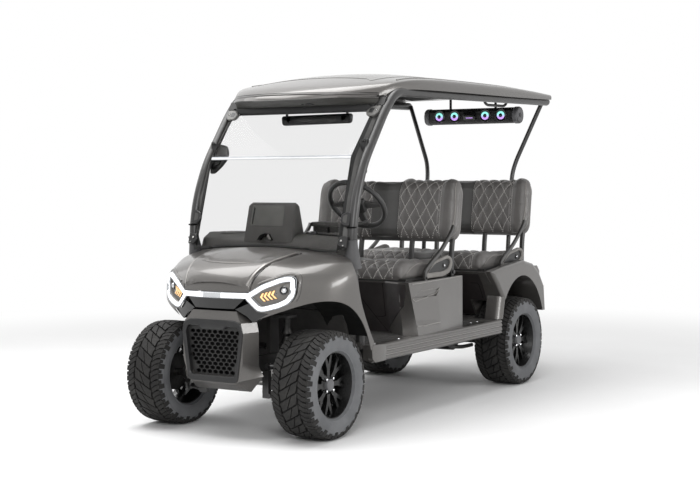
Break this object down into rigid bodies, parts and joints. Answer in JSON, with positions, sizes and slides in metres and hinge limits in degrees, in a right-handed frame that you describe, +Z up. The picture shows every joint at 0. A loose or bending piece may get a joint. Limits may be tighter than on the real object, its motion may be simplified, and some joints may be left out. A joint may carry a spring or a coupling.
{
  "type": "golf cart",
  "caption": "Open golf cart with front and rear benches, roof, folding windshield, lifted all-terrain wheels and steerable front axle.",
  "frame": {"origin": "on the ground under the middle of the overall length and width", "axes": "+X to the driver's side (vehicle's left), +Y to the rear, +Z up"},
  "size_m": [1.238, 3.143, 2.0323],
  "materials": {
    "frame_paint": "satin black powder coat",
    "body_paint": "metallic warm graphite",
    "black_plastic": "moulded satin black",
    "gloss_black": "gloss black",
    "light": "white diffuser",
    "lens": "clear lens",
    "glass": "lightly tinted pane",
    "rubber": "black rubber",
    "tyre": "all-terrain tyre",
    "rim": "gloss black alloy",
    "seat": "grey upholstery",
    "steel": "plated steel",
    "spring": "black spring steel",
    "mirror": "mirror in black housing",
    "red_lamp": "red lens"
  },
  "bodies": {
    "chassis": {"battery_pack": "black_plastic", "dashboard": "black_plastic", "display_pod": "black_plastic", "firewall": "black_plastic", "floor_deck": "rubber", "front_bumper": "body_paint", "front_cowl": "body_paint", "front_cross_members": "frame_paint", "front_pillars": "frame_paint", "front_springs": "spring", "front_wishbones": "frame_paint", "grab_handles": "black_plastic", "grille": "gloss_black", "headlamps": "lens", "hood_panel": "body_paint", "light_band": "light", "main_frame": "frame_paint", "nose_panels": "gloss_black", "pedals": "steel", "rear_axle": "steel", "rear_body": "body_paint", "rear_bumper": "black_plastic", "rear_springs": "spring", "rear_struts": "frame_paint", "rear_view_mirror": "mirror", "rocker_panels": "black_plastic", "roof": "body_paint", "roof_header": "black_plastic", "seat_back_front": "seat", "seat_back_rear": "seat", "seat_frames": "frame_paint", "seat_guards": "black_plastic", "seat_pod": "body_paint", "sound_bar": "black_plastic", "speakers": "gloss_black", "spring_towers": "frame_paint", "steering_column": "black_plastic", "steering_rack": "steel", "tail_lamps": "red_lamp", "windshield_clips": "black_plastic", "windshield_lower": "glass", "windshield_upper": "glass"},
    "knuckle_left": {"knuckle_left": "steel"},
    "knuckle_right": {"knuckle_right": "steel"},
    "wheel_front_left": {"rim_front_left": "rim", "tyre_front_left": "tyre"},
    "wheel_front_right": {"rim_front_right": "rim", "tyre_front_right": "tyre"},
    "wheel_rear_left": {"rim_rear_left": "rim", "tyre_rear_left": "tyre"},
    "wheel_rear_right": {"rim_rear_right": "rim", "tyre_rear_right": "tyre"},
    "tie_bar": {"tie_bar": "steel"},
    "steering_wheel": {"steering_wheel": "black_plastic"},
    "seat_lid_front": {"seat_bottom_front": "seat", "seat_board_front": "black_plastic"},
    "seat_lid_rear": {"seat_bottom_rear": "seat", "seat_board_rear": "black_plastic"}
  },
  "joints": [
    {"name": "steer_left", "type": "hinge", "parent": "chassis", "child": "knuckle_left", "pos_m": [0.38, -1.28, 0.292], "axis": [0, 0, 1], "range_deg": [-22, 22]},
    {"name": "steer_right", "type": "hinge", "parent": "chassis", "child": "knuckle_right", "pos_m": [-0.38, -1.28, 0.292], "axis": [0, 0, 1], "range_deg": [-22, 22]},
    {"name": "steering_wheel_turn", "type": "hinge", "parent": "chassis", "child": "steering_wheel", "pos_m": [0.262, -0.51, 1.236], "axis": [0, 0.7431, 0.6691], "range_deg": [-310, 310]},
    {"name": "tie_bar_slide", "type": "slide", "parent": "chassis", "child": "tie_bar", "axis": [1, 0, 0], "range_m": [-0.046, 0.046]},
    {"name": "spin_front_left", "type": "hinge", "parent": "knuckle_left", "child": "wheel_front_left", "pos_m": [0.494, -1.28, 0.292], "axis": [1, 0, 0], "continuous": true},
    {"name": "spin_front_right", "type": "hinge", "parent": "knuckle_right", "child": "wheel_front_right", "pos_m": [-0.494, -1.28, 0.292], "axis": [1, 0, 0], "continuous": true},
    {"name": "spin_rear_left", "type": "hinge", "parent": "chassis", "child": "wheel_rear_left", "pos_m": [0.494, 1.044, 0.292], "axis": [1, 0, 0], "continuous": true},
    {"name": "spin_rear_right", "type": "hinge", "parent": "chassis", "child": "wheel_rear_right", "pos_m": [-0.494, 1.044, 0.292], "axis": [1, 0, 0], "continuous": true},
    {"name": "lid_front", "type": "hinge", "parent": "chassis", "child": "seat_lid_front", "pos_m": [0, -0.34, 0.7763], "axis": [1, 0, 0], "range_deg": [0, 65]},
    {"name": "lid_rear", "type": "hinge", "parent": "chassis", "child": "seat_lid_rear", "pos_m": [0, 0.685, 0.7763], "axis": [1, 0, 0], "range_deg": [0, 65]}
  ],
  "couplings": [
    {"joint": "steer_right", "follows": "steer_left", "ratio": 1},
    {"joint": "steering_wheel_turn", "follows": "steer_left", "ratio": 14},
    {"joint": "tie_bar_slide", "follows": "steer_left", "m_per_rad": -0.115}
  ]
}
